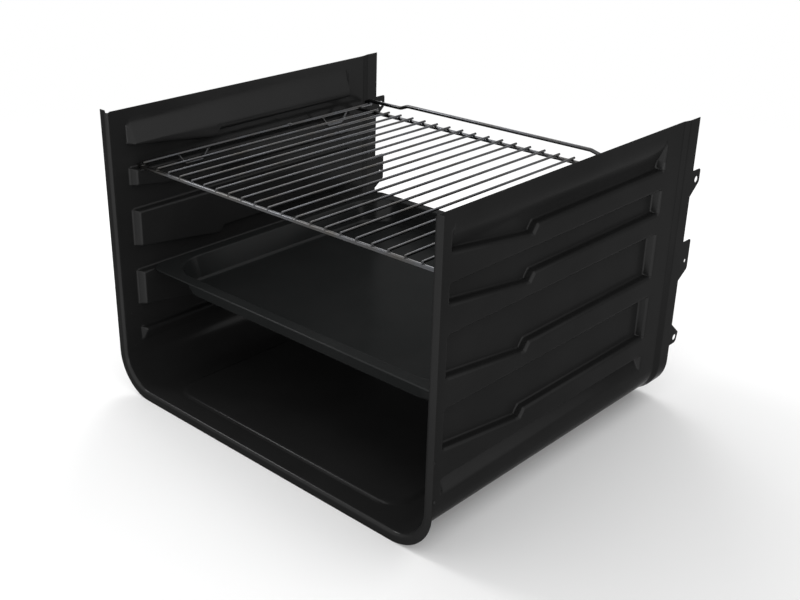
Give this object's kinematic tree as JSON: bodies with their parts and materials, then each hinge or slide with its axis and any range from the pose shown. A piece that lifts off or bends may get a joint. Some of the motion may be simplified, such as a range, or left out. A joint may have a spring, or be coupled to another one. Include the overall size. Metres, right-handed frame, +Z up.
{
  "type": "oven cavity with wire shelf and baking tray",
  "caption": "U-shaped pressed oven liner, open front, back and top, with ledges pressed in its sides, a sliding wire shelf and a sliding baking tray.",
  "frame": {"origin": "centre of the bounding box, on the level of the front flange's lowest edge", "axes": "+Z up, mouth of the cavity towards -Y, +X to the right seen from the mouth"},
  "size_m": [0.48, 0.448, 0.3397],
  "materials": {
    "liner_enamel": "glossy vitreous enamel on steel sheet",
    "tray_enamel": "glossy vitreous enamel on steel sheet",
    "shelf_chrome": "bright plated steel wire"
  },
  "bodies": {
    "cavity": {"oven_liner": "liner_enamel"},
    "tray": {"baking_tray": "tray_enamel"},
    "shelf": {"shelf_front_rail": "shelf_chrome", "shelf_rear_rail": "shelf_chrome", "shelf_side_rod_left": "shelf_chrome", "shelf_side_rod_right": "shelf_chrome", "shelf_rod_01": "shelf_chrome", "shelf_rod_02": "shelf_chrome", "shelf_rod_03": "shelf_chrome", "shelf_rod_04": "shelf_chrome", "shelf_rod_05": "shelf_chrome", "shelf_rod_06": "shelf_chrome", "shelf_rod_07": "shelf_chrome", "shelf_rod_08": "shelf_chrome", "shelf_rod_09": "shelf_chrome", "shelf_rod_10": "shelf_chrome", "shelf_rod_11": "shelf_chrome", "shelf_rod_12": "shelf_chrome", "shelf_rod_13": "shelf_chrome", "shelf_rod_14": "shelf_chrome", "shelf_rod_15": "shelf_chrome", "shelf_rod_16": "shelf_chrome", "shelf_rod_17": "shelf_chrome", "shelf_rod_18": "shelf_chrome", "shelf_rod_19": "shelf_chrome", "shelf_rod_20": "shelf_chrome", "shelf_stop_wire": "shelf_chrome", "shelf_hoop_front_left": "shelf_chrome", "shelf_hoop_front_right": "shelf_chrome", "shelf_hoop_rear_left": "shelf_chrome", "shelf_hoop_rear_right": "shelf_chrome"}
  },
  "joints": [
    {"name": "shelf_slide", "type": "slide", "parent": "cavity", "child": "shelf", "axis": [0, -1, 0], "range_m": [0, 0.25]},
    {"name": "tray_slide", "type": "slide", "parent": "cavity", "child": "tray", "axis": [0, -1, 0], "range_m": [0, 0.3]}
  ]
}
